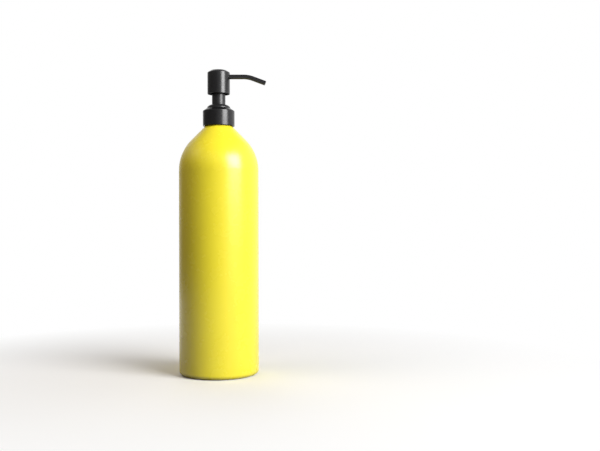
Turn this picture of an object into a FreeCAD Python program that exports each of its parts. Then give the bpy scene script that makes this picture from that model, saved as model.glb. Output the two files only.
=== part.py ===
import FreeCAD, Part
import math
import os
import re
import Sketcher

# Dish soap bottle: a slim one-litre aluminium bottle with a screw-on lotion pump.
# Millimetres.  The origin is the centre of the base, on the surface that the bottle stands on.
# +Z runs up the bottle's axis, and the spout points along +X.

SIZES = {
    # bottle, drawn from one slug: a domed base, a straight wall, a round shoulder and a threaded neck
    "bottle_radius": 39.45,
    "bottle_wall": 0.8,
    "base_corner_radius": 4.4,
    "base_land_width": 3.5,
    "base_dome_rise": 6.0,
    "shoulder_start": 202.24,
    "shoulder_radius": 43.0,
    "shoulder_angle": 44.5,
    "neck_length": 13.15,
    "neck_radius": 12.6,
    "neck_wall": 1.6,
    "neck_foot_radius": 2.0,
    "neck_lip_radius": 0.4,
    # the 28 mm screw thread, on the neck and in the closure
    "thread_pitch": 4.23,
    "thread_depth": 1.1,
    "thread_root_width": 2.4,
    "thread_crest_width": 1.1,
    "thread_clearance": 0.25,
    "thread_sink": 0.3,
    "neck_thread_turns": 1.5,
    "neck_thread_lead": 2.2,
    "liner_thread_depth": 1.0,
    "liner_thread_turns": 1.25,
    # gasket between the neck's lip and the pump's flange
    "gasket_thickness": 1.2,
    "gasket_inset": 0.5,
    "gasket_clearance": 0.3,
    # closure: a screw-on liner inside a pressed metal shell
    "closure_height": 17.6,
    "closure_chamfer_width": 3.95,
    "closure_chamfer_angle": 34.0,
    "closure_edge_radius": 0.9,
    "closure_hole_clearance": 0.5,
    "closure_float": 0.1,
    "shell_wall": 0.4,
    "liner_wall": 1.4,
    "liner_roof": 1.1,
    "liner_recess": 0.3,
    # pump housing: flange, upper sleeve, piston cylinder, ball valve and dip tube socket
    "flange_thickness": 1.3,
    "flange_inset": 0.6,
    "flange_clearance": 0.2,
    "housing_wall": 1.1,
    "collar_rise": 1.4,
    "cylinder_bore": 6.05,
    "cylinder_wall": 0.95,
    "cylinder_length": 35.9,
    "cylinder_taper": 1.6,
    "vent_radius": 0.6,
    "vent_drop": 4.5,
    "spring_ledge_margin": 0.15,
    "valve_chamber_wall": 1.3,
    "valve_chamber_depth": 8.7,
    "valve_seat_radius": 1.7,
    "valve_seat_thickness": 1.3,
    "valve_cone_angle": 35.0,
    "valve_gap": 0.02,
    "ball_radius": 2.38,
    "ball_lift": 1.8,
    "cage_radius": 2.2,
    "cage_half_height": 0.9,
    "socket_depth": 18.0,
    "socket_wall": 1.2,
    # dip tube
    "tube_radius": 3.0,
    "tube_wall": 0.8,
    "tube_end_gap": 3.0,
    # chaplet: the domed cap that holds the pump together and guides the stem
    "cup_wall": 0.75,
    "cup_floor": 1.2,
    "cup_depth": 9.8,
    "cup_fit": 0.03,
    "guide_height": 12.4,
    "chaplet_lip_inset": 0.4,
    "chaplet_lip_height": 0.9,
    "dome_rise": 2.45,
    "dome_radius": 5.2,
    "dome_rim_width": 0.35,
    # head, stem and sleeve
    "stroke": 11.8,
    "stem_radius": 4.0,
    "stem_bore": 2.2,
    "stem_clearance": 0.08,
    "stem_grip": 11.2,
    "sleeve_radius": 6.67,
    "sleeve_wall": 0.7,
    "sleeve_clearance": 0.3,
    "stroke_gap": 0.4,
    "head_radius": 11.15,
    "head_height": 23.5,
    "head_chamfer_width": 3.45,
    "head_chamfer_angle": 31.0,
    "head_edge_radius": 0.9,
    "head_rim_radius": 0.2,
    "head_wall": 0.5,
    "rim_gap": 1.45,
    "core_recess": 1.9,
    "core_wall": 1.0,
    "core_roof": 1.2,
    "rib_thickness": 1.0,
    "rib_recess": 1.5,
    "rib_count": 4,
    # spout tube and the boss that holds it
    "spout_radius": 2.35,
    "spout_bore": 1.85,
    "spout_drop": 6.35,
    "spout_start": 3.4,
    "spout_reach": 29.6,
    "spout_bend_radius": 27.0,
    "spout_angle": 20.6,
    "spout_tip_length": 18.1,
    "spout_boss_wall": 1.4,
    "spout_boss_inset": 0.2,
    "spout_hole_clearance": 0.1,
    "channel_rise": 2.0,
    # piston seal and the rod that opens and closes it
    "piston_clearance": 0.05,
    "piston_height": 9.0,
    "piston_lip_height": 0.9,
    "piston_flare": 1.3,
    "piston_waist_gap": 0.6,
    "piston_skirt_wall": 0.5,
    "piston_skirt_depth": 1.65,
    "piston_web": 1.6,
    "piston_slip": 1.0,
    "piston_stop_gap": 0.05,
    "seal_radius": 2.75,
    "seal_gap": 0.05,
    "rod_seat_clearance": 0.45,
    "rod_seat_thickness": 1.8,
    "rod_shank_grip": 6.5,
    "rod_pin_length": 6.2,
    "rod_pin_end_radius": 0.9,
    "rod_flute_radius": 0.6,
    "rod_flute_count": 4,
    # return spring
    "wire_radius": 0.45,
    "coil_margin": 0.15,
    "coil_clearance": 0.55,
    "coil_turns": 6,
    "closed_turns": 1,
    "closed_coil_gap": 0.06,
    "spring_seat_gap": 0.05,
}

# Levels and radii that follow from the sizes, each an expression on the sheet.
SHOULDER_CORNER = "(shoulder_start + shoulder_radius * tan(shoulder_angle / 2))"
NECK_FOOT = f"({SHOULDER_CORNER} + (bottle_radius - neck_radius) / tan(shoulder_angle))"
NECK_TOP = f"({NECK_FOOT} + neck_length)"
GASKET_TOP = f"({NECK_TOP} + gasket_thickness)"
FLANGE_TOP = f"({GASKET_TOP} + flange_thickness)"
LINER_TOP = f"({FLANGE_TOP} + liner_roof)"
CLOSURE_TOP = f"({LINER_TOP} + shell_wall)"
CLOSURE_BASE = f"({CLOSURE_TOP} - closure_height)"
CLOSURE_CORNER = f"({CLOSURE_TOP} - closure_chamfer_width * tan(closure_chamfer_angle))"
THREAD_START = f"({NECK_TOP} - neck_thread_lead - thread_pitch * neck_thread_turns)"

NECK_BORE = "(neck_radius - neck_wall)"
LINER_BORE = "(neck_radius + thread_depth + thread_clearance)"
LINER_RADIUS = f"({LINER_BORE} + liner_wall)"
SHELL_RADIUS = f"({LINER_RADIUS} + shell_wall)"
SHELL_FLAT = f"({SHELL_RADIUS} - closure_chamfer_width)"
LINER_FLAT = f"({SHELL_FLAT} - shell_wall * tan(closure_chamfer_angle / 2))"
LINER_CORNER = f"({CLOSURE_CORNER} - shell_wall * tan((90 - closure_chamfer_angle) / 2))"
LINER_ROUNDING = "(closure_edge_radius - shell_wall)"

SLEEVE_BORE = "(sleeve_radius - sleeve_wall)"
CUP_BORE = "(sleeve_radius + sleeve_clearance)"
CUP_RADIUS = f"({CUP_BORE} + cup_wall)"
GUIDE_RADIUS = f"({SLEEVE_BORE} - sleeve_clearance)"
GUIDE_BORE = "(stem_radius + stem_clearance)"
HOUSING_BORE = f"({CUP_RADIUS} + cup_fit)"
HOUSING_RADIUS = f"({HOUSING_BORE} + housing_wall)"
CLOSURE_HOLE = f"({HOUSING_RADIUS} + closure_hole_clearance)"
FLANGE_RADIUS = "(neck_radius - flange_inset)"
CYLINDER_RADIUS = "(cylinder_bore + cylinder_wall)"
PISTON_RADIUS = "(cylinder_bore - piston_clearance)"
PISTON_WAIST = "(cylinder_bore - piston_waist_gap)"
SKIRT_BORE = f"({PISTON_WAIST} - piston_skirt_wall)"
ROD_SEAT_RADIUS = f"({SKIRT_BORE} - rod_seat_clearance)"
COIL_RADIUS = f"({ROD_SEAT_RADIUS} - coil_margin - wire_radius)"
ROD_PIN_RADIUS = f"({COIL_RADIUS} - wire_radius - coil_clearance)"
CHAMBER_RADIUS = f"({COIL_RADIUS} - wire_radius - spring_ledge_margin)"

COLLAR_TOP = f"({CLOSURE_TOP} + collar_rise)"
CUP_SEAT = f"({FLANGE_TOP} - cup_depth)"
CUP_FLOOR_TOP = f"({CUP_SEAT} + cup_floor)"
GUIDE_TOP = f"({CUP_FLOOR_TOP} + guide_height)"
CYLINDER_FLOOR = f"({CUP_SEAT} - cylinder_length)"
VALVE_SEAT = f"({CYLINDER_FLOOR} - valve_chamber_depth)"
VALVE_CONE_TOP = f"({VALVE_SEAT} + ({CHAMBER_RADIUS} - valve_seat_radius) / tan(valve_cone_angle))"
BALL_CENTRE = (
    f"({VALVE_SEAT} - valve_seat_radius / tan(valve_cone_angle)"
    " + (ball_radius + valve_gap) / sin(valve_cone_angle))"
)
CAGE_LEVEL = f"({BALL_CENTRE} + ball_radius + ball_lift)"
SOCKET_TOP = f"({VALVE_SEAT} - valve_seat_thickness)"
SOCKET_END = f"({SOCKET_TOP} - socket_depth)"
TUBE_END = "(base_dome_rise + bottle_wall + tube_end_gap)"

LIP_BASE = f"({CLOSURE_TOP} + closure_float)"
LIP_TOP = f"({LIP_BASE} + chaplet_lip_height)"
LIP_RADIUS = f"({SHELL_FLAT} - chaplet_lip_inset)"
DOME_TOP = f"({LIP_TOP} + dome_rise)"

SLEEVE_END = f"({CUP_FLOOR_TOP} + stroke + stroke_gap)"
STEM_SOCKET = f"({GUIDE_TOP} + stroke + stroke_gap)"
STEM_TOP = f"({STEM_SOCKET} + stem_grip)"
HEAD_RIM = f"({LIP_TOP} + rim_gap + stroke)"
HEAD_TOP = f"({HEAD_RIM} + head_height)"
HEAD_CORNER = f"({HEAD_TOP} - head_chamfer_width * tan(head_chamfer_angle))"
CORE_RADIUS = "(head_radius - head_wall)"
CORE_BORE = f"({CORE_RADIUS} - core_wall)"
CORE_BASE = f"({HEAD_RIM} + core_recess)"
CORE_CORNER = f"({HEAD_CORNER} - head_wall * tan((90 - head_chamfer_angle) / 2))"
CORE_FLAT = "(head_radius - head_chamfer_width - head_wall * tan(head_chamfer_angle / 2))"
CORE_TOP = f"({HEAD_TOP} - head_wall)"
CAVITY_ROOF = f"({CORE_CORNER} - core_roof)"
SPOUT_LEVEL = f"({HEAD_TOP} - spout_drop)"

PISTON_TOP = f"({CUP_SEAT} - piston_stop_gap)"
PISTON_END = f"({PISTON_TOP} - piston_height)"
WEB_BASE = f"({PISTON_END} + piston_skirt_depth)"
WEB_TOP = f"({WEB_BASE} + piston_web)"
STEM_END = f"({WEB_TOP} + piston_slip)"
ROD_SEAT_TOP = f"({WEB_BASE} - seal_gap)"
ROD_SEAT_BASE = f"({ROD_SEAT_TOP} - rod_seat_thickness)"
SPRING_BASE = f"({CYLINDER_FLOOR} + spring_seat_gap + wire_radius)"
SPRING_TOP = f"({ROD_SEAT_BASE} - spring_seat_gap - wire_radius)"
CLOSED_PITCH = "(2 * wire_radius + closed_coil_gap)"

doc = FreeCAD.newDocument("DishSoapBottle")
sheet = doc.addObject("Spreadsheet::Sheet", "Sizes")
for row, (alias, number) in enumerate(SIZES.items(), start=1):
    sheet.set(f"A{row}", alias)
    sheet.set(f"B{row}", str(number))
    sheet.setAlias(f"B{row}", alias)
doc.recompute()


def bound(expression):
    """The expression with every size written as its cell of the sheet."""
    return re.sub(r"[a-z]\w*", lambda word: f"Sizes.{word[0]}" if word[0] in SIZES else word[0], expression)


def value(expression):
    """What an expression comes to with the sizes as they are."""
    return float(sheet.evalExpression(bound(expression)))


def bind(item, target, expression):
    """Bind one property of an object to an expression on the sheet."""
    item.setExpression(target, bound(expression))


# ---- sketches -------------------------------------------------------------------------------------


def origin_part(body, role):
    """One of the body's own origin planes or axes."""
    return next(item for item in body.Origin.OriginFeatures if item.Role == role)


def new_sketch(body, name, role, offset=None):
    """A sketch on one of the body's origin planes, moved along the plane's normal by the offset."""
    sketch = body.newObject("Sketcher::SketchObject", f"{body.Name}_{name}")
    sketch.AttachmentSupport = [(origin_part(body, role), "")]
    sketch.MapMode = "FlatFace"
    if offset:
        bind(sketch, "AttachmentOffset.Base.z", offset)
    return sketch


def dimension(sketch, expression, kind, *places):
    """Add one dimension to a sketch, bound to an expression on the sheet."""
    index = sketch.addConstraint(Sketcher.Constraint(kind, *places, value(expression)))
    bind(sketch, f"Constraints[{index}]", expression)


def place_point(sketch, geometry, end, across, up):
    """Hold one point of a sketch at two expressions, or on an axis where an expression is 0."""
    for expression, kind, axis in ((across, "DistanceX", -2), (up, "DistanceY", -1)):
        if expression == "0":
            sketch.addConstraint(Sketcher.Constraint("PointOnObject", geometry, end, axis))
        else:
            dimension(sketch, expression, kind, -1, 1, geometry, end)


def arc_between(start, end, centre):
    """The short arc from start to end about a centre, and which of its ends each of them is."""
    circle = Part.Circle(centre, FreeCAD.Vector(0, 0, 1), (start - centre).Length)
    first = math.atan2(start.y - centre.y, start.x - centre.x)
    last = math.atan2(end.y - centre.y, end.x - centre.x)
    anticlockwise = (start - centre).cross(end - centre).z > 0
    if anticlockwise:
        return Part.ArcOfCircle(circle, first, last), (1, 2)
    return Part.ArcOfCircle(circle, last, first), (2, 1)


def outline(body, name, corners, role="XZ_Plane", curved=None, is_open=False):
    """Sketch an outline through its corners.

    A corner is (across, up) or (across, up, rounding), each an expression on the sheet.
    The side that leaves a corner is straight, unless curved gives its radius: then it is an arc
    that bulges to the right of the way the outline runs.
    """
    curved = curved or {}
    sketch = new_sketch(body, name, role)
    points = [FreeCAD.Vector(value(corner[0]), value(corner[1]), 0) for corner in corners]
    count = len(points)
    arrive, leave, rounds = list(points), list(points), {}
    for number, corner in enumerate(corners):
        if len(corner) > 2:
            radius = value(corner[2])
            back = (points[number - 1] - points[number]).normalize()
            ahead = (points[(number + 1) % count] - points[number]).normalize()
            half_angle = back.getAngle(ahead) / 2
            arrive[number] = points[number] + back * (radius / math.tan(half_angle))
            leave[number] = points[number] + ahead * (radius / math.tan(half_angle))
            rounds[number] = points[number] + (back + ahead).normalize() * (radius / math.sin(half_angle))

    sides = []
    for number in range(count - 1 if is_open else count):
        start, end = leave[number], arrive[(number + 1) % count]
        if number in curved:
            radius = value(curved[number])
            along = (end - start) / 2
            rise = math.sqrt(radius**2 - along.Length**2)
            centre = start + along + FreeCAD.Vector(-along.y, along.x, 0).normalize() * rise
            shape, ends = arc_between(start, end, centre)
            side = sketch.addGeometry(shape)
            dimension(sketch, curved[number], "Radius", side)
        else:
            side, ends = sketch.addGeometry(Part.LineSegment(start, end)), (1, 2)
        sides.append((side, *ends))

    for number, corner in enumerate(corners):
        if is_open and number in (0, count - 1):
            side, start_end, far_end = sides[0] if number == 0 else sides[-1]
            place_point(sketch, side, start_end if number == 0 else far_end, corner[0], corner[1])
            continue
        side_in, _, end_in = sides[number - 1]
        side_out, end_out, _ = sides[number]
        if number in rounds:
            shape, (arc_in, arc_out) = arc_between(arrive[number], leave[number], rounds[number])
            arc = sketch.addGeometry(shape)
            sketch.addConstraint(Sketcher.Constraint("Tangent", side_in, end_in, arc, arc_in))
            sketch.addConstraint(Sketcher.Constraint("Tangent", arc, arc_out, side_out, end_out))
            dimension(sketch, corner[2], "Radius", arc)
            mark = sketch.addGeometry(Part.Point(points[number]), True)
            sketch.addConstraint(Sketcher.Constraint("PointOnObject", mark, 1, side_in))
            sketch.addConstraint(Sketcher.Constraint("PointOnObject", mark, 1, side_out))
            place_point(sketch, mark, 1, corner[0], corner[1])
        else:
            sketch.addConstraint(Sketcher.Constraint("Coincident", side_in, end_in, side_out, end_out))
            place_point(sketch, side_out, end_out, corner[0], corner[1])
    return sketch


def circles(body, name, role, radii, offset=None, across="0", up="0"):
    """Sketch one circle, or a ring of two, about a point of the plane."""
    sketch = new_sketch(body, name, role, offset)
    centre = FreeCAD.Vector(value(across), value(up), 0)
    for radius in radii:
        circle = sketch.addGeometry(Part.Circle(centre, FreeCAD.Vector(0, 0, 1), value(radius)))
        dimension(sketch, radius, "Radius", circle)
        place_point(sketch, circle, 3, across, up)
    return sketch


# ---- features -------------------------------------------------------------------------------------


def new_body(name):
    body = doc.addObject("PartDesign::Body", name)
    body.Label = name
    return body


def turned(body, corners, curved=None):
    """A solid of revolution about the Z axis."""
    feature = body.newObject("PartDesign::Revolution", f"{body.Name}_turned")
    feature.Profile = outline(body, "section", corners, curved=curved)
    feature.ReferenceAxis = (feature.Profile[0], ["V_Axis"])
    feature.Angle = 360
    return feature


def helix(body, sketch, pitch, turns):
    """A sketch swept along a right-handed helix about the Z axis."""
    feature = body.newObject("PartDesign::AdditiveHelix", f"{sketch.Name}_helix")
    feature.Profile = sketch
    feature.ReferenceAxis = (sketch, ["V_Axis"])
    feature.Mode = "pitch-turns-angle"
    bind(feature, "Pitch", pitch)
    bind(feature, "Turns", turns)
    return feature


def padded(body, sketch, length):
    """A sketch pushed out along its plane's normal."""
    feature = body.newObject("PartDesign::Pad", f"{sketch.Name}_pad")
    feature.Profile = sketch
    bind(feature, "Length", length)
    return feature


def pocketed(body, sketch, length):
    """A sketch cut out of the solid along its plane's normal."""
    feature = body.newObject("PartDesign::Pocket", f"{sketch.Name}_pocket")
    feature.Profile = sketch
    feature.Reversed = True
    bind(feature, "Length", length)
    return feature


def repeated(body, feature, occurrences):
    """A feature repeated evenly about the Z axis."""
    pattern = body.newObject("PartDesign::PolarPattern", f"{feature.Name}_pattern")
    pattern.Originals = [feature]
    pattern.Axis = (origin_part(body, "Z_Axis"), [""])
    pattern.Angle = 360
    bind(pattern, "Occurrences", occurrences)
    body.Tip = pattern
    return pattern


def thread_section(body, role, root, direction, depth, level):
    """The outline of a thread: its foot is sunk in the wall at the root radius, and its crest is narrower."""
    foot = f"({root} - {direction} * thread_sink)"
    crest = f"({root} + {direction} * {depth})"
    return outline(body, "thread", [
        (foot, f"{level} - thread_root_width / 2"),
        (root, f"{level} - thread_root_width / 2"),
        (crest, f"{level} - thread_crest_width / 2"),
        (crest, f"{level} + thread_crest_width / 2"),
        (root, f"{level} + thread_root_width / 2"),
        (foot, f"{level} + thread_root_width / 2"),
    ], role=role)


# ---- bottle ---------------------------------------------------------------------------------------


def make_bottle():
    land_bore = "(bottle_radius - base_corner_radius - base_land_width)"
    dome_radius = f"(({land_bore}^2 + base_dome_rise^2) / (2 * base_dome_rise))"
    inner_radius = "(bottle_radius - bottle_wall)"
    inner_corner = f"({SHOULDER_CORNER} - bottle_wall * tan(shoulder_angle / 2))"
    inner_foot = f"({inner_corner} + ({inner_radius} - {NECK_BORE}) / tan(shoulder_angle))"
    body = new_body("bottle")
    turned(body, [
        ("0", "base_dome_rise"),
        (land_bore, "0"),
        ("bottle_radius", "0", "base_corner_radius"),
        ("bottle_radius", SHOULDER_CORNER, "shoulder_radius"),
        ("neck_radius", NECK_FOOT, "neck_foot_radius"),
        ("neck_radius", NECK_TOP, "neck_lip_radius"),
        (NECK_BORE, NECK_TOP, "neck_lip_radius"),
        (NECK_BORE, inner_foot, "neck_foot_radius"),
        (inner_radius, inner_corner, "(shoulder_radius - bottle_wall)"),
        (inner_radius, "bottle_wall", "(base_corner_radius - bottle_wall)"),
        (f"sqrt({land_bore}^2 + 2 * bottle_wall * base_dome_rise)", "bottle_wall"),
        ("0", "(base_dome_rise + bottle_wall)"),
    ], curved={0: dome_radius, 10: f"({dome_radius} + bottle_wall)"})
    section = thread_section(body, "XZ_Plane", "neck_radius", 1, "thread_depth", THREAD_START)
    helix(body, section, "thread_pitch", "neck_thread_turns")
    return body


# ---- gasket and closure ---------------------------------------------------------------------------


def make_gasket():
    body = new_body("gasket")
    radii = ("(neck_radius - gasket_inset)", f"({HOUSING_RADIUS} + gasket_clearance)")
    padded(body, circles(body, "ring", "XY_Plane", radii, offset=NECK_TOP), "gasket_thickness")
    return body


def make_closure_shell():
    """The pressed metal cup that the hand turns."""
    body = new_body("closure_shell")
    turned(body, [
        (SHELL_RADIUS, CLOSURE_BASE),
        (SHELL_RADIUS, CLOSURE_CORNER, "closure_edge_radius"),
        (SHELL_FLAT, CLOSURE_TOP, "closure_edge_radius"),
        (CLOSURE_HOLE, CLOSURE_TOP),
        (CLOSURE_HOLE, LINER_TOP),
        (LINER_FLAT, LINER_TOP, LINER_ROUNDING),
        (LINER_RADIUS, LINER_CORNER, LINER_ROUNDING),
        (LINER_RADIUS, CLOSURE_BASE),
    ])
    return body


def make_closure_liner():
    """The moulded cap inside the shell, whose thread holds the pump down on the neck."""
    flange_bore = f"({FLANGE_RADIUS} + flange_clearance)"
    body = new_body("closure_liner")
    turned(body, [
        (LINER_RADIUS, f"({CLOSURE_BASE} + liner_recess)"),
        (LINER_RADIUS, LINER_CORNER, LINER_ROUNDING),
        (LINER_FLAT, LINER_TOP, LINER_ROUNDING),
        (CLOSURE_HOLE, LINER_TOP),
        (CLOSURE_HOLE, FLANGE_TOP),
        (flange_bore, FLANGE_TOP),
        (LINER_BORE, f"({FLANGE_TOP} - {LINER_BORE} + {flange_bore})"),
        (LINER_BORE, f"({CLOSURE_BASE} + liner_recess)"),
    ])
    # half a pitch under the neck's thread, and started a quarter turn round, where the neck has full flanks
    level = f"({THREAD_START} - thread_pitch / 4)"
    section = thread_section(body, "YZ_Plane", LINER_BORE, -1, "liner_thread_depth", level)
    helix(body, section, "thread_pitch", "liner_thread_turns")
    return body


# ---- pump housing, valve and dip tube -------------------------------------------------------------


def make_pump_housing():
    """One moulding: collar, flange, upper sleeve, piston cylinder, valve chamber and tube socket."""
    chamber_outside = f"({CHAMBER_RADIUS} + valve_chamber_wall)"
    socket_radius = "(tube_radius + socket_wall)"
    taper_base = f"({CYLINDER_FLOOR} - cylinder_taper)"
    body = new_body("pump_housing")
    turned(body, [
        ("tube_radius", SOCKET_END),
        ("tube_radius", SOCKET_TOP),
        ("valve_seat_radius", SOCKET_TOP),
        ("valve_seat_radius", VALVE_SEAT),
        (CHAMBER_RADIUS, VALVE_CONE_TOP),
        (CHAMBER_RADIUS, f"({CAGE_LEVEL} - cage_half_height)"),
        ("cage_radius", CAGE_LEVEL),
        (CHAMBER_RADIUS, f"({CAGE_LEVEL} + cage_half_height)"),
        (CHAMBER_RADIUS, CYLINDER_FLOOR),
        ("cylinder_bore", CYLINDER_FLOOR),
        ("cylinder_bore", CUP_SEAT),
        (HOUSING_BORE, CUP_SEAT),
        (HOUSING_BORE, COLLAR_TOP),
        (HOUSING_RADIUS, COLLAR_TOP),
        (HOUSING_RADIUS, FLANGE_TOP),
        (FLANGE_RADIUS, FLANGE_TOP),
        (FLANGE_RADIUS, GASKET_TOP),
        (HOUSING_RADIUS, GASKET_TOP),
        (HOUSING_RADIUS, f"({CUP_SEAT} - housing_wall)", "housing_wall"),
        (CYLINDER_RADIUS, f"({CUP_SEAT} - housing_wall - cylinder_taper)", "housing_wall"),
        (CYLINDER_RADIUS, CYLINDER_FLOOR),
        (chamber_outside, taper_base),
        (chamber_outside, SOCKET_TOP),
        (socket_radius, f"({SOCKET_TOP} - cylinder_taper)"),
        (socket_radius, SOCKET_END),
    ])
    vent_level = f"({CUP_SEAT} - vent_drop)"
    vent = circles(body, "vent", "XZ_Plane", ["vent_radius"], up=vent_level)
    cut = pocketed(body, vent, f"(2 * {CYLINDER_RADIUS})")
    cut.Midplane = True
    return body


def make_chaplet():
    """The domed cap: its cup fills the housing, and its middle tube guides the stem."""
    recess_radius = f"({HOUSING_RADIUS} + cup_fit)"
    recess_roof = f"({COLLAR_TOP} + cup_fit)"
    body = new_body("chaplet")
    turned(body, [
        (GUIDE_BORE, CUP_SEAT),
        (CUP_RADIUS, CUP_SEAT),
        (CUP_RADIUS, recess_roof),
        (recess_radius, recess_roof),
        (recess_radius, LIP_BASE),
        (LIP_RADIUS, LIP_BASE),
        (LIP_RADIUS, LIP_TOP),
        (f"({CUP_BORE} + dome_rim_width)", DOME_TOP),
        (CUP_BORE, DOME_TOP),
        (CUP_BORE, CUP_FLOOR_TOP),
        (GUIDE_RADIUS, CUP_FLOOR_TOP),
        (GUIDE_RADIUS, GUIDE_TOP),
        (GUIDE_BORE, GUIDE_TOP),
    ], curved={6: "dome_radius"})
    return body


def make_inlet_ball():
    ball = doc.addObject("Part::Sphere", "inlet_ball")
    ball.Label = "inlet_ball"
    bind(ball, "Radius", "ball_radius")
    bind(ball, "Placement.Base.z", BALL_CENTRE)
    return ball


def make_dip_tube():
    body = new_body("dip_tube")
    radii = ("tube_radius", "(tube_radius - tube_wall)")
    padded(body, circles(body, "ring", "XY_Plane", radii, offset=TUBE_END), f"({SOCKET_TOP} - {TUBE_END})")
    return body


# ---- piston, rod and spring -----------------------------------------------------------------------


def make_piston():
    """The soft seal: two lips wipe the cylinder, and an inner lip closes on the rod's seat."""
    body = new_body("piston")
    turned(body, [
        ("seal_radius", WEB_BASE),
        (SKIRT_BORE, WEB_BASE),
        (SKIRT_BORE, PISTON_END),
        (PISTON_RADIUS, PISTON_END),
        (PISTON_RADIUS, f"({PISTON_END} + piston_lip_height)"),
        (PISTON_WAIST, f"({PISTON_END} + piston_lip_height + piston_flare)"),
        (PISTON_WAIST, f"({PISTON_TOP} - piston_lip_height - piston_flare)"),
        (PISTON_RADIUS, f"({PISTON_TOP} - piston_lip_height)"),
        (PISTON_RADIUS, PISTON_TOP),
        (GUIDE_BORE, PISTON_TOP),
        (GUIDE_BORE, WEB_TOP),
        ("seal_radius", WEB_TOP),
    ])
    return body


def make_piston_rod():
    """A fluted shank pressed up the stem, a seat under the piston, and a pin inside the spring."""
    pin_end = f"({ROD_SEAT_BASE} - rod_pin_length)"
    shank_top = f"({STEM_END} + rod_shank_grip)"
    body = new_body("piston_rod")
    turned(body, [
        ("0", pin_end),
        (ROD_PIN_RADIUS, pin_end, "rod_pin_end_radius"),
        (ROD_PIN_RADIUS, ROD_SEAT_BASE),
        (ROD_SEAT_RADIUS, ROD_SEAT_BASE),
        (ROD_SEAT_RADIUS, ROD_SEAT_TOP),
        ("stem_bore", ROD_SEAT_TOP),
        ("stem_bore", shank_top),
        ("0", shank_top),
    ])
    flute = circles(body, "flute", "XY_Plane", ["rod_flute_radius"], offset=ROD_SEAT_TOP, across="stem_bore")
    cut = pocketed(body, flute, f"({shank_top} - {ROD_SEAT_TOP})")
    repeated(body, cut, "rod_flute_count")
    return body


def make_return_spring():
    """Stainless wire with a closed coil at each end."""
    working_pitch = f"(({SPRING_TOP} - {SPRING_BASE} - 2 * closed_turns * {CLOSED_PITCH}) / coil_turns)"
    working_start = f"({SPRING_BASE} + closed_turns * {CLOSED_PITCH})"
    working_end = f"({SPRING_TOP} - closed_turns * {CLOSED_PITCH})"
    body = new_body("return_spring")
    for name, level, pitch, turns in (
        ("lower", SPRING_BASE, CLOSED_PITCH, "closed_turns"),
        ("working", working_start, working_pitch, "coil_turns"),
        ("upper", working_end, CLOSED_PITCH, "closed_turns"),
    ):
        wire = circles(body, name, "XZ_Plane", ["wire_radius"], across=COIL_RADIUS, up=level)
        helix(body, wire, pitch, turns)
    return body


# ---- head: stem, moulded core, metal shell and spout ----------------------------------------------


def make_stem():
    body = new_body("stem")
    ring = circles(body, "ring", "XY_Plane", ("stem_radius", "stem_bore"), offset=STEM_END)
    padded(body, ring, f"({STEM_TOP} - {STEM_END})")
    return body


def make_head_core():
    """The moulding inside the head: stem socket, the sleeve that shows below the head, ribs and spout boss."""
    channel_top = f"({SPOUT_LEVEL} + channel_rise)"
    rib_base = f"({CORE_BASE} + rib_recess)"
    body = new_body("head_core")
    turned(body, [
        (SLEEVE_BORE, SLEEVE_END),
        (SLEEVE_BORE, STEM_SOCKET),
        ("stem_radius", STEM_SOCKET),
        ("stem_radius", STEM_TOP),
        ("stem_bore", STEM_TOP),
        ("stem_bore", channel_top),
        ("0", channel_top),
        ("0", CORE_TOP),
        (CORE_FLAT, CORE_TOP, "(head_edge_radius - head_wall)"),
        (CORE_RADIUS, CORE_CORNER, "(head_edge_radius - head_wall)"),
        (CORE_RADIUS, CORE_BASE),
        (CORE_BORE, CORE_BASE),
        (CORE_BORE, CAVITY_ROOF),
        ("sleeve_radius", CAVITY_ROOF),
        ("sleeve_radius", SLEEVE_END),
    ])
    rib = outline(body, "rib", [
        ("(sleeve_radius - core_wall / 2)", rib_base),
        (f"({CORE_BORE} + core_wall / 2)", rib_base),
        (f"({CORE_BORE} + core_wall / 2)", f"({CAVITY_ROOF} + core_roof / 2)"),
        ("(sleeve_radius - core_wall / 2)", f"({CAVITY_ROOF} + core_roof / 2)"),
    ])
    web = padded(body, rib, "rib_thickness")
    web.Midplane = True
    repeated(body, web, "rib_count")
    boss_radius = "(spout_radius + spout_boss_wall)"
    boss = circles(body, "boss", "YZ_Plane", [boss_radius], offset="stem_radius", up=SPOUT_LEVEL)
    padded(body, boss, f"(sqrt({CORE_RADIUS}^2 - {boss_radius}^2) - spout_boss_inset - stem_radius)")
    bore = circles(body, "bore", "YZ_Plane", ["spout_bore"], up=SPOUT_LEVEL)
    pocketed(body, bore, CORE_RADIUS)
    seat = circles(body, "seat", "YZ_Plane", ["spout_radius"], offset="spout_start", up=SPOUT_LEVEL)
    pocketed(body, seat, CORE_RADIUS)
    return body


def make_head_shell():
    """The pressed metal cap over the core, with a hole for the spout."""
    inner_rounding = "(head_edge_radius - head_wall)"
    body = new_body("head_shell")
    turned(body, [
        ("head_radius", HEAD_RIM, "head_rim_radius"),
        ("head_radius", HEAD_CORNER, "head_edge_radius"),
        ("(head_radius - head_chamfer_width)", HEAD_TOP, "head_edge_radius"),
        ("0", HEAD_TOP),
        ("0", CORE_TOP),
        (CORE_FLAT, CORE_TOP, inner_rounding),
        (CORE_RADIUS, CORE_CORNER, inner_rounding),
        (CORE_RADIUS, HEAD_RIM, "head_rim_radius"),
    ])
    hole_radius = "(spout_radius + spout_hole_clearance)"
    hole = circles(body, "hole", "YZ_Plane", [hole_radius], up=SPOUT_LEVEL)
    pocketed(body, hole, "(2 * head_radius)")
    return body


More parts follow.
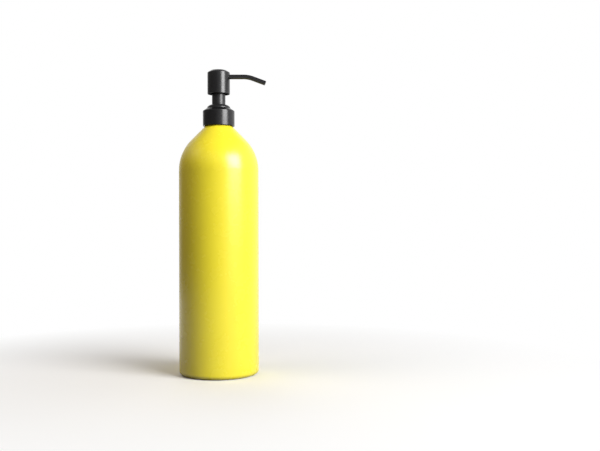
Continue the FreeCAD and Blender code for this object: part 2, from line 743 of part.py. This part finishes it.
def make_spout_tube():
    """A drawn tube, bent once and cut square."""
    body = new_body("spout_tube")
    path = outline(body, "path", [
        ("spout_start", SPOUT_LEVEL),
        ("spout_reach", SPOUT_LEVEL, "spout_bend_radius"),
        (
            "(spout_reach + spout_tip_length * cos(spout_angle))",
            f"({SPOUT_LEVEL} - spout_tip_length * sin(spout_angle))",
        ),
    ], is_open=True)
    ring = circles(body, "ring", "YZ_Plane", ("spout_radius", "spout_bore"), offset="spout_start", up=SPOUT_LEVEL)
    pipe = body.newObject("PartDesign::AdditivePipe", "spout_tube_pipe")
    pipe.Profile = ring
    pipe.Spine = path
    return body


# ---- the model ------------------------------------------------------------------------------------


def check(parts):
    """Stop if any object failed, a cut removed nothing, or a piece isn't one valid solid."""
    for item in doc.Objects:
        if "Invalid" in item.State or "Error" in item.State:
            raise RuntimeError(f"{item.Label} failed: {item.State}")
        if item.TypeId == "PartDesign::Pocket":
            if item.Shape.Volume > item.BaseFeature.Shape.Volume - 0.1:
                raise RuntimeError(f"{item.Label} cuts nothing")
    for part in parts:
        shape = part.Shape
        if shape.isNull() or not shape.isValid() or len(shape.Solids) != 1:
            raise RuntimeError(f"{part.Label} is not one valid solid")


parts = [
    make_bottle(),
    make_gasket(),
    make_closure_shell(),
    make_closure_liner(),
    make_pump_housing(),
    make_chaplet(),
    make_inlet_ball(),
    make_dip_tube(),
    make_piston(),
    make_piston_rod(),
    make_return_spring(),
    make_stem(),
    make_head_core(),
    make_head_shell(),
    make_spout_tube(),
]
doc.recompute()
check(parts)
os.makedirs("parts", exist_ok=True)
for part in parts:
    part.Shape.exportStep(os.path.join("parts", f"{part.Label}.step"))
    print(f"{part.Label}: {part.Shape.Volume:.1f} mm3")
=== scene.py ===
import math

import bpy
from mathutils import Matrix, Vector


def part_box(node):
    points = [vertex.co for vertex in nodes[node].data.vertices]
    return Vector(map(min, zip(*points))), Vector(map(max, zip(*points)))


# A yellow painted aluminium soap bottle with a black lotion pump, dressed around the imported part.
# Metres, in the part's own frame: +Z up the bottle's axis, the spout along +X.

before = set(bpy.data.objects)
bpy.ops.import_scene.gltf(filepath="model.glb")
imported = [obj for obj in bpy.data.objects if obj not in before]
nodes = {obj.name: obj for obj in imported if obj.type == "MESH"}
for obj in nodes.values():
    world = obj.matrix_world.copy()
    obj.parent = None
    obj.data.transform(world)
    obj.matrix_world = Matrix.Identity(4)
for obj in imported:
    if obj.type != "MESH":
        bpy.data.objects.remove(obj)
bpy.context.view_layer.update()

closure_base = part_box("closure_shell")[0].z

# the bottle's paint ends out of sight in the closure, at an edge that wavers a little
PAINT_UNDER_CLOSURE = 0.0025
PAINT_EDGE_WAVE = 0.0003
PAINT_EDGE_WIDTH = 0.0002
# the paint covers what faces outward, or down by this share, and sets in over this range
DOWN_SHARE = 0.8
OUTSIDE_FACING = (0.0, 0.04)
# the least distance from the axis that the outward direction is worked out with
NEAREST_AXIS = 0.0001
# most of a noise texture's values lie between these
NOISE_RANGE = (0.3, 0.7)


# ---- material nodes --------------------------------------------------------------------------------


class Shader:
    """One material: its Principled shader, and short ways to add the nodes that feed it."""

    def __init__(self, name):
        self.material = bpy.data.materials.new(name)
        self.material.use_nodes = True
        self.tree = self.material.node_tree
        self.surface = self.tree.nodes["Principled BSDF"]
        self.coordinates = self.add("ShaderNodeTexCoord")
        self.place = self.coordinates.outputs["Object"]

    def add(self, kind, **settings):
        node = self.tree.nodes.new(kind)
        for key, setting in settings.items():
            setattr(node, key, setting)
        return node

    def link(self, source, target):
        self.tree.links.new(source, target)

    def fill(self, socket, source):
        """Set a socket to a number or colour, or link an output to it."""
        if isinstance(source, bpy.types.NodeSocket):
            self.link(source, socket)
        else:
            socket.default_value = source

    def set(self, **values):
        """Values set on the Principled shader's own sockets, with _ for the spaces in their names."""
        for key, number in values.items():
            self.surface.inputs[key.replace("_", " ")].default_value = number

    def noise(self, size, detail=2.0, stretch=(1, 1, 1)):
        """Noise whose grains are about that size, in metres, stretched along the axes."""
        mapping = self.add("ShaderNodeMapping")
        self.link(self.place, mapping.inputs["Vector"])
        mapping.inputs["Scale"].default_value = [1 / share for share in stretch]
        texture = self.add("ShaderNodeTexNoise")
        self.link(mapping.outputs["Vector"], texture.inputs["Vector"])
        texture.inputs["Scale"].default_value = 1 / size
        texture.inputs["Detail"].default_value = detail
        return texture.outputs["Fac"]

    def spread(self, source, low, high, start=0.0, end=1.0):
        """The source's values from start to end, spread from low to high."""
        remap = self.add("ShaderNodeMapRange")
        self.fill(remap.inputs["Value"], source)
        remap.inputs["From Min"].default_value = start
        remap.inputs["From Max"].default_value = end
        remap.inputs["To Min"].default_value = low
        remap.inputs["To Max"].default_value = high
        return remap.outputs["Result"]

    def vary(self, size, detail, low, high):
        """Noise whose usual values are spread from low to high."""
        return self.spread(self.noise(size, detail=detail), low, high, *NOISE_RANGE)

    def math(self, operation, first, second=0.0):
        node = self.add("ShaderNodeMath", operation=operation)
        self.fill(node.inputs[0], first)
        self.fill(node.inputs[1], second)
        return node.outputs["Value"]

    def parts(self, vector):
        """A vector's X, Y and Z."""
        node = self.add("ShaderNodeSeparateXYZ")
        self.link(vector, node.inputs["Vector"])
        return node.outputs

    def level_dot(self, first, second):
        """The dot product of two vectors' level parts."""
        return self.math(
            "ADD",
            self.math("MULTIPLY", first["X"], second["X"]),
            self.math("MULTIPLY", first["Y"], second["Y"]),
        )

    def mix(self, factor, first, second):
        """A colour from the first to the second as the factor goes from 0 to 1."""
        node = self.add("ShaderNodeMix", data_type="RGBA")
        self.fill(node.inputs["Factor"], factor)
        self.fill(node.inputs["A"], first)
        self.fill(node.inputs["B"], second)
        return node.outputs["Result"]

    def bump(self, height, depth, below=None):
        """A bump of that depth in metres, laid over another one."""
        node = self.add("ShaderNodeBump")
        self.link(height, node.inputs["Height"])
        node.inputs["Distance"].default_value = depth
        if below is not None:
            self.link(below, node.inputs["Normal"])
        return node.outputs["Normal"]

    def show(self, factor, first, second):
        """Show the first shader where the factor is 0, and the second where it is 1."""
        node = self.add("ShaderNodeMixShader")
        self.link(factor, node.inputs["Fac"])
        self.link(first, node.inputs[1])
        self.link(second, node.inputs[2])
        self.link(node.outputs["Shader"], self.tree.nodes["Material Output"].inputs["Surface"])

    def colour(self, source):
        self.fill(self.surface.inputs["Base Color"], source)

    def roughness(self, source):
        self.fill(self.surface.inputs["Roughness"], source)

    def normal(self, source):
        self.link(source, self.surface.inputs["Normal"])


def rgb(red, green, blue):
    return (red, green, blue, 1.0)


# ---- materials -------------------------------------------------------------------------------------


def bottle_paint():
    """Satin yellow paint outside, and bare metal at the screw neck and inside."""
    shader = Shader("yellow_paint")
    normal = shader.parts(shader.coordinates.outputs["Normal"])
    place = shader.parts(shader.place)
    # how far the surface faces away from the axis, or down under the base
    outward = shader.level_dot(normal, place)
    radius = shader.math("SQRT", shader.level_dot(place, place))
    facing = shader.math("DIVIDE", outward, shader.math("MAXIMUM", radius, NEAREST_AXIS))
    facing = shader.math("SUBTRACT", facing, shader.math("MULTIPLY", normal["Z"], DOWN_SHARE))
    outside = shader.spread(facing, 0.0, 1.0, *OUTSIDE_FACING)
    edge = shader.spread(shader.noise(0.002, detail=3), -PAINT_EDGE_WAVE, PAINT_EDGE_WAVE)
    level = shader.math("ADD", place["Z"], edge)
    paint_end = closure_base + PAINT_UNDER_CLOSURE
    below_neck = shader.spread(level, 1.0, 0.0, paint_end, paint_end + PAINT_EDGE_WIDTH)
    painted = shader.math("MULTIPLY", outside, below_neck)

    # the coat: slow drifts of tone, and a fine orange peel over a broader one
    drift = shader.spread(shader.noise(0.045, detail=3, stretch=(1, 1, 1.8)), 0.0, 1.0, *NOISE_RANGE)
    coat = shader.mix(drift, rgb(0.93, 0.80, 0.030), rgb(0.96, 0.83, 0.040))
    brushed = shader.noise(0.0008, detail=4, stretch=(1, 1, 0.12))
    metal = shader.mix(brushed, rgb(0.62, 0.62, 0.61), rgb(0.82, 0.82, 0.81))
    shader.colour(shader.mix(painted, metal, coat))
    coat_gloss = shader.vary(0.012, 4, 0.24, 0.29)
    metal_gloss = shader.spread(brushed, 0.28, 0.46)
    gloss = shader.add("ShaderNodeMix", data_type="FLOAT")
    shader.fill(gloss.inputs["Factor"], painted)
    shader.fill(gloss.inputs["A"], metal_gloss)
    shader.fill(gloss.inputs["B"], coat_gloss)
    shader.roughness(gloss.outputs["Result"])
    shader.fill(shader.surface.inputs["Metallic"], shader.spread(painted, 1.0, 0.0))
    peel = shader.bump(shader.noise(0.0011, detail=2), 0.000008)
    shader.normal(shader.bump(shader.noise(0.006, detail=2), 0.00003, below=peel))
    shader.set(IOR=1.6)
    return shader.material


def coated_metal():
    """Pressed steel under a satin black coat, with the fine grain of the coat."""
    shader = Shader("black_coated_metal")
    drift = shader.noise(0.009, detail=4)
    shader.colour(shader.mix(drift, rgb(0.0085, 0.0085, 0.0095), rgb(0.0125, 0.0125, 0.0135)))
    shader.roughness(shader.vary(0.004, 5, 0.19, 0.27))
    shader.normal(shader.bump(shader.noise(0.0005, detail=3), 0.000006))
    shader.set(IOR=1.5)
    return shader.material


def black_plastic():
    """Moulded black plastic with a light spark-eroded grain."""
    shader = Shader("black_plastic")
    grain = shader.noise(0.00035, detail=3)
    shader.colour(shader.mix(grain, rgb(0.010, 0.010, 0.011), rgb(0.017, 0.017, 0.018)))
    shader.roughness(shader.vary(0.003, 4, 0.26, 0.36))
    shader.normal(shader.bump(grain, 0.00001))
    shader.set(IOR=1.5)
    return shader.material


def natural_plastic():
    """Milky natural polypropylene, as pump housings and dip tubes have it."""
    shader = Shader("natural_plastic")
    cloud = shader.noise(0.006, detail=3)
    shader.colour(shader.mix(cloud, rgb(0.74, 0.75, 0.74), rgb(0.79, 0.79, 0.775)))
    shader.roughness(shader.vary(0.002, 4, 0.30, 0.42))
    shader.normal(shader.bump(shader.noise(0.0008, detail=3), 0.000008))
    shader.set(IOR=1.49, Transmission_Weight=0.35)
    return shader.material


def seal_white():
    """The soft white of the gasket and the piston."""
    shader = Shader("seal_white")
    fine = shader.noise(0.0006, detail=3)
    shader.colour(shader.mix(fine, rgb(0.72, 0.72, 0.70), rgb(0.78, 0.78, 0.76)))
    shader.roughness(shader.vary(0.002, 3, 0.52, 0.66))
    shader.normal(shader.bump(fine, 0.00001))
    return shader.material


def bright_steel():
    """Drawn stainless steel, with fine lines round the wire and the ball."""
    shader = Shader("bright_steel")
    lines = shader.noise(0.0004, detail=4, stretch=(1, 1, 0.2))
    shader.colour(shader.mix(lines, rgb(0.52, 0.52, 0.51), rgb(0.68, 0.68, 0.67)))
    shader.roughness(shader.spread(lines, 0.16, 0.32, 0.2, 0.8))
    shader.normal(shader.bump(lines, 0.000002))
    shader.set(Metallic=1.0)
    return shader.material


def dress(material, *names):
    """Give CAD nodes a material."""
    for name in names:
        slots = nodes[name].data.materials
        slots.clear()
        slots.append(material)


dress(bottle_paint(), "bottle")
dress(coated_metal(), "closure_shell", "head_shell", "spout_tube")
dress(black_plastic(), "closure_liner", "chaplet", "head_core", "stem")
dress(natural_plastic(), "pump_housing", "dip_tube", "piston_rod")
dress(seal_white(), "gasket", "piston")
dress(bright_steel(), "inlet_ball", "return_spring")


# ---- stage: floor, cards, lamps, world and camera ---------------------------------------------------

# the floor's colour as it is seen and as it lights the bottle, and the distances where it fades to white
FLOOR_COLOUR = (0.90, 0.90, 0.895)
FLOOR_BOUNCE = (0.05, 0.04, 0.03)
FLOOR_FADE = (0.06, 0.42)
FLOOR_REACH = 8.0

# two dark cards, one bent round the left and the front and one overhead, keep those sides as dark as an
# unlit room. Their bearings go from the front to the right, and they cover fully up to the shares given.
CARD_TINT = (1.0, 0.96, 0.94)
CARD_GLOW = 0.12
SIDE_RADIUS, SIDE_FOOT, SIDE_TOP, SIDE_FULL = 0.75, 0.02, 0.8, 0.5
SIDE_FROM, SIDE_TO = math.radians(-168), math.radians(34)
SIDE_SOFT = math.radians(50)
SIDE_STEPS = 32
OVER_REACH, OVER_HEIGHT, OVER_FULL = 2.2, 1.7, 0.4

# the room's light on the bottle, and the point that the lamps look at
ROOM_LIGHT = (0.14, 0.12, 0.10)
BOTTLE_MIDDLE = (0.0, 0.0, 0.15)


def stage_mesh(name, points, faces, material):
    """A mesh of the studio, which isn't part of the object."""
    mesh = bpy.data.meshes.new(name)
    mesh.from_pydata(points, [], faces)
    mesh.materials.append(material)
    item = bpy.data.objects.new(name, mesh)
    bpy.context.scene.collection.objects.link(item)
    return item


def square(reach, height):
    """The corners of a level square round the axis."""
    corners = ((-1, -1), (1, -1), (1, 1), (-1, 1))
    return [(reach * across, reach * along, height) for across, along in corners]


def seen_rays(tree):
    """1 on rays that show the background, directly, in gloss or through glass, and 0 on those that light."""
    path = tree.nodes.new("ShaderNodeLightPath")
    seen = path.outputs["Is Camera Ray"]
    for kind in ("Is Glossy Ray", "Is Transmission Ray"):
        either = tree.nodes.new("ShaderNodeMath")
        either.operation = "MAXIMUM"
        tree.links.new(seen, either.inputs[0])
        tree.links.new(path.outputs[kind], either.inputs[1])
        seen = either.outputs["Value"]
    return seen


def floor_material():
    """A pale matt floor that keeps the shadow near the bottle and runs out into plain white."""
    shader = Shader("pale_floor")
    seen = seen_rays(shader.tree)
    shader.colour(shader.mix(seen, rgb(*FLOOR_BOUNCE), rgb(*FLOOR_COLOUR)))
    shader.roughness(0.9)
    shader.set(Specular_IOR_Level=0.1)
    white = shader.add("ShaderNodeEmission")
    away = shader.add("ShaderNodeVectorMath", operation="LENGTH")
    shader.link(shader.place, away.inputs[0])
    far = shader.spread(away.outputs["Value"], 0.0, 1.0, *FLOOR_FADE)
    shader.show(
        shader.math("MULTIPLY", far, seen), shader.surface.outputs["BSDF"], white.outputs["Emission"]
    )
    return shader.material


def card_material(name, cover):
    """A dark card with a faint glow, which thins out to nothing where its cover ends."""
    shader = Shader(name)
    shader.colour(rgb(0.03, 0.03, 0.03))
    shader.roughness(0.9)
    shader.set(Emission_Color=rgb(*CARD_TINT), Emission_Strength=CARD_GLOW)
    clear = shader.add("ShaderNodeBsdfTransparent")
    shader.show(
        cover(shader, shader.parts(shader.place)), clear.outputs["BSDF"], shader.surface.outputs["BSDF"]
    )
    return shader.material


def side_cover(shader, place):
    """Full in the middle of the bent card, soft at both ends and over its upper half."""
    bearing = shader.math("ARCTAN2", place["X"], shader.math("MULTIPLY", place["Y"], -1.0))
    left = shader.spread(bearing, 0.0, 1.0, SIDE_FROM, SIDE_FROM + SIDE_SOFT)
    right = shader.spread(bearing, 1.0, 0.0, SIDE_TO - SIDE_SOFT, SIDE_TO)
    top = shader.spread(place["Z"], 1.0, 0.0, SIDE_FULL * SIDE_TOP, SIDE_TOP)
    return shader.math("MULTIPLY", shader.math("MULTIPLY", left, right), top)


def over_cover(shader, place):
    """Full over the bottle, soft all round."""
    across = shader.math("ABSOLUTE", place["X"])
    along = shader.math("ABSOLUTE", place["Y"])
    away = shader.math("MAXIMUM", across, along)
    return shader.spread(away, 1.0, 0.0, OVER_FULL * OVER_REACH, OVER_REACH)


def softbox(name, azimuth, elevation, distance, width, height, brightness, tint=(1.0, 1.0, 1.0)):
    """A lamp right of the front by the azimuth, with a face of that brightness, where 1 is white."""
    lamp = bpy.data.lights.new(name, "AREA")
    lamp.shape = "RECTANGLE"
    lamp.size, lamp.size_y = width, height
    lamp.energy = brightness * math.pi * width * height
    lamp.color = tint
    right, up = math.radians(azimuth), math.radians(elevation)
    back = Vector((math.sin(right) * math.cos(up), -math.cos(right) * math.cos(up), math.sin(up)))
    item = bpy.data.objects.new(name, lamp)
    item.location = Vector(BOTTLE_MIDDLE) + back * distance
    item.rotation_mode = "QUATERNION"
    item.rotation_quaternion = (-back).to_track_quat("-Z", "Y")
    bpy.context.scene.collection.objects.link(item)
    return item


stage_mesh("floor", square(FLOOR_REACH, 0.0), [(0, 1, 2, 3)], floor_material())

side_points = []
for step in range(SIDE_STEPS + 1):
    bearing = SIDE_FROM + (SIDE_TO - SIDE_FROM) * step / SIDE_STEPS
    across, ahead = SIDE_RADIUS * math.sin(bearing), -SIDE_RADIUS * math.cos(bearing)
    side_points += [(across, ahead, SIDE_FOOT), (across, ahead, SIDE_TOP)]
side_faces = [(2 * i, 2 * i + 1, 2 * i + 3, 2 * i + 2) for i in range(SIDE_STEPS)]
side_card = stage_mesh("side_card", side_points, side_faces, card_material("side_card", side_cover))
over_card = stage_mesh(
    "over_card", square(OVER_REACH, OVER_HEIGHT), [(0, 1, 2, 3)], card_material("over_card", over_cover)
)
for card in (side_card, over_card):
    card.visible_camera = False

# the window is brightest in the middle, so its highlight is round and soft
softbox("window", azimuth=52, elevation=24, distance=1.5, width=1.15, height=1.05, brightness=4.6)
softbox("window_middle", azimuth=52, elevation=24, distance=1.48, width=0.75, height=0.70, brightness=9.3)
room = softbox(
    "room",
    azimuth=-72,
    elevation=47,
    distance=0.55,
    width=0.24,
    height=0.24,
    brightness=3.8,
    tint=(1.0, 0.84, 0.70),
)
back_wall = softbox(
    "back_wall", azimuth=-160, elevation=9, distance=1.5, width=1.2, height=0.6, brightness=6.5
)
for lamp in (room, back_wall):
    lamp.visible_glossy = False

world = bpy.data.worlds.new("studio")
bpy.context.scene.world = world
world.use_nodes = True
tree = world.node_tree
sky = tree.nodes.new("ShaderNodeMix")
sky.data_type = "RGBA"
sky.inputs["A"].default_value = rgb(*ROOM_LIGHT)
sky.inputs["B"].default_value = rgb(1.0, 1.0, 1.0)
tree.links.new(seen_rays(tree), sky.inputs["Factor"])
tree.links.new(sky.outputs["Result"], tree.nodes["Background"].inputs["Color"])

# the camera stands level, a little over half way up the bottle, and sees it left of the middle
camera = bpy.data.cameras.new("camera")
camera.lens = 48.0
camera.sensor_width = 36.0
camera.clip_start, camera.clip_end = 0.01, 100.0
viewer = bpy.data.objects.new("camera", camera)
viewer.location = (0.0808, -0.798, 0.1474)
viewer.rotation_euler = (math.radians(90), math.radians(0.13), 0.0)
bpy.context.scene.collection.objects.link(viewer)
bpy.context.scene.camera = viewer

bpy.context.scene.view_settings.view_transform = "Standard"
